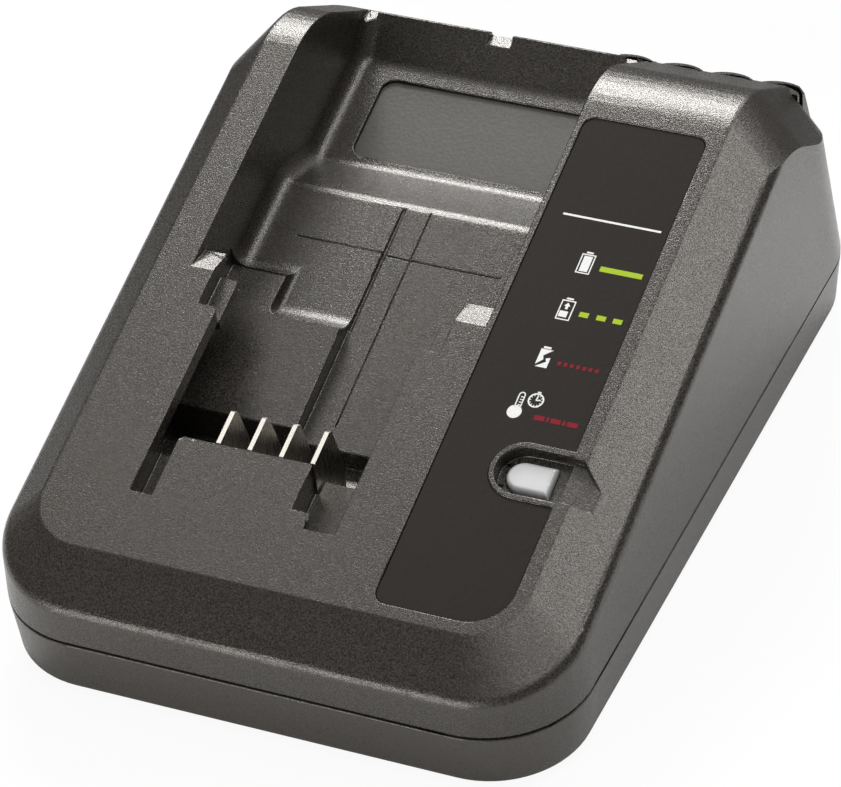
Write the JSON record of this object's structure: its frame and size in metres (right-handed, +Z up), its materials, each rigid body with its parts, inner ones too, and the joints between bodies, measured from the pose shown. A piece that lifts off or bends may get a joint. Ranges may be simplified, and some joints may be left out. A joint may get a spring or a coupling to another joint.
{
  "type": "power tool battery charger",
  "caption": "Wedge-shaped tabletop charger with a slide-in battery bay, contact blades, an indicator panel and a two-part plastic housing.",
  "frame": {"origin": "on the floor, under the middle of the seam outline between the housings", "axes": "+X to the right seen from the front, +Y to the rear (the high end), +Z up"},
  "size_m": [0.12, 0.1758, 0.0656],
  "materials": {
    "housing_shell": "finely grained charcoal",
    "panel_film": "matt black film with printed symbols",
    "plate_film": "satin grey",
    "clear_plastic": "frosted clear",
    "black_plastic": "moulded",
    "contact_metal": "tin-plated",
    "board_laminate": "solder mask",
    "ferrite": "dark sintered",
    "winding_tape": "yellow tape",
    "capacitor_sleeve": "sleeved can",
    "sink_aluminium": "extruded",
    "fuse_glass": "ceramic tube",
    "soft_rubber": "moulded",
    "screw_steel": "zinc-plated"
  },
  "bodies": {
    "root": {"upper_housing": "housing_shell", "lower_housing": "housing_shell", "indicator_panel": "panel_film", "bay_label_plate": "plate_film", "light_pipe": "clear_plastic", "indicator_led": "clear_plastic", "terminal_block": "black_plastic", "mains_connector": "black_plastic", "control_chip": "black_plastic", "bridge_rectifier": "black_plastic", "switching_transistor": "black_plastic", "chip_resistors": "black_plastic", "blade_positive": "contact_metal", "blade_sense": "contact_metal", "blade_thermistor": "contact_metal", "blade_negative": "contact_metal", "circuit_board": "board_laminate", "transformer_core": "ferrite", "common_mode_choke": "ferrite", "transformer_winding": "winding_tape", "x_capacitor": "winding_tape", "bulk_capacitor": "capacitor_sleeve", "output_capacitors": "capacitor_sleeve", "heat_sink": "sink_aluminium", "fuse": "fuse_glass", "cord_inlet_bush": "soft_rubber", "rubber_feet": "soft_rubber", "housing_screws": "screw_steel", "board_screws": "screw_steel"}
  },
  "joints": []
}
